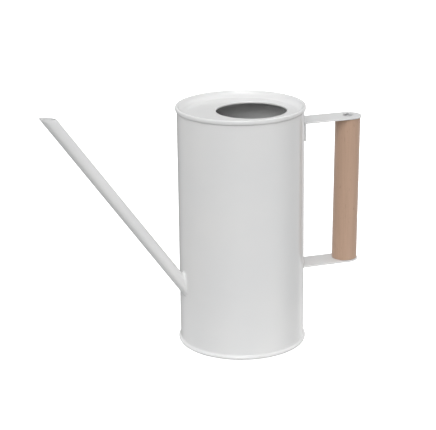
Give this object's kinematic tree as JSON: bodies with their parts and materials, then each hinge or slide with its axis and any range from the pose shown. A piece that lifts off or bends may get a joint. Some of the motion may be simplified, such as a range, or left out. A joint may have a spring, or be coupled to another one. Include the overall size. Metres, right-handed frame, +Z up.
{
  "type": "watering can",
  "caption": "Cylindrical steel watering can with a long straight tube spout, an off-centre filling hole and a wooden dowel grip between two flat straps.",
  "frame": {"origin": "centre of the round foot, on the ground", "axes": "+Z up along the tank's axis, +X from the tank's axis to the grip, the spout leaning out 5 degrees off -X towards -Y"},
  "size_m": [0.3311, 0.129, 0.252],
  "materials": {
    "white_paint": "satin white powder coat",
    "seam_compound": "matt grey sealing compound",
    "wood": "plain beech, unvarnished",
    "screw_steel": "zinc-plated steel"
  },
  "bodies": {
    "root": {"body_shell": "white_paint", "base_plate": "white_paint", "top_plate": "white_paint", "base_seam_sealant": "seam_compound", "top_seam_sealant": "seam_compound", "spout_tube": "white_paint", "spout_weld": "white_paint", "upper_bracket": "white_paint", "upper_bracket_weld": "white_paint", "lower_bracket": "white_paint", "lower_bracket_weld": "white_paint", "grip": "wood", "upper_screw": "screw_steel", "lower_screw": "screw_steel"}
  },
  "joints": []
}
